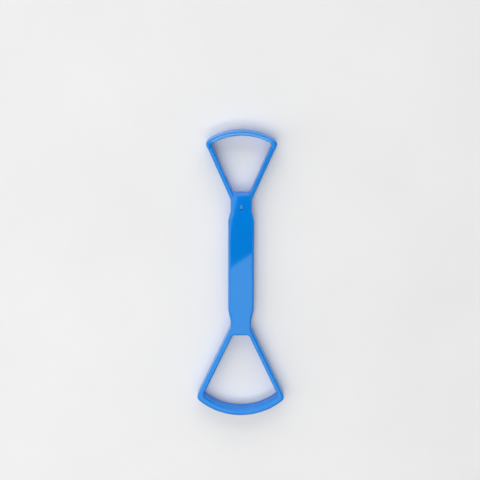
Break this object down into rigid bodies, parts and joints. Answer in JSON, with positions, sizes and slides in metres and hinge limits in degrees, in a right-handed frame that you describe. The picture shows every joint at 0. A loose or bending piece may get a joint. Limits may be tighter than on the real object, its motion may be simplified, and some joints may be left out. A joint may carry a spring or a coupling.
{
  "type": "tongue scraper",
  "caption": "Double-ended plastic tongue scraper: a flat handle with a small and a large fan-shaped loop head, each with a curved rim that carries scraping lips on its front and back.",
  "frame": {"origin": "under the middle of the tool's length and width, on the plane that its back lies on", "axes": "+X across the tool, +Y along it towards the small head, +Z out of its front"},
  "size_m": [0.0402, 0.1344, 0.007],
  "materials": {
    "handle_plastic": "gloss",
    "frame_plastic": "gloss",
    "lip_plastic": "gloss"
  },
  "bodies": {
    "root": {"handle": "handle_plastic", "small_head_frame": "frame_plastic", "small_head_front_lip": "lip_plastic", "small_head_back_lip": "lip_plastic", "large_head_frame": "frame_plastic", "large_head_front_lip": "lip_plastic", "large_head_back_lip": "lip_plastic"}
  },
  "joints": []
}
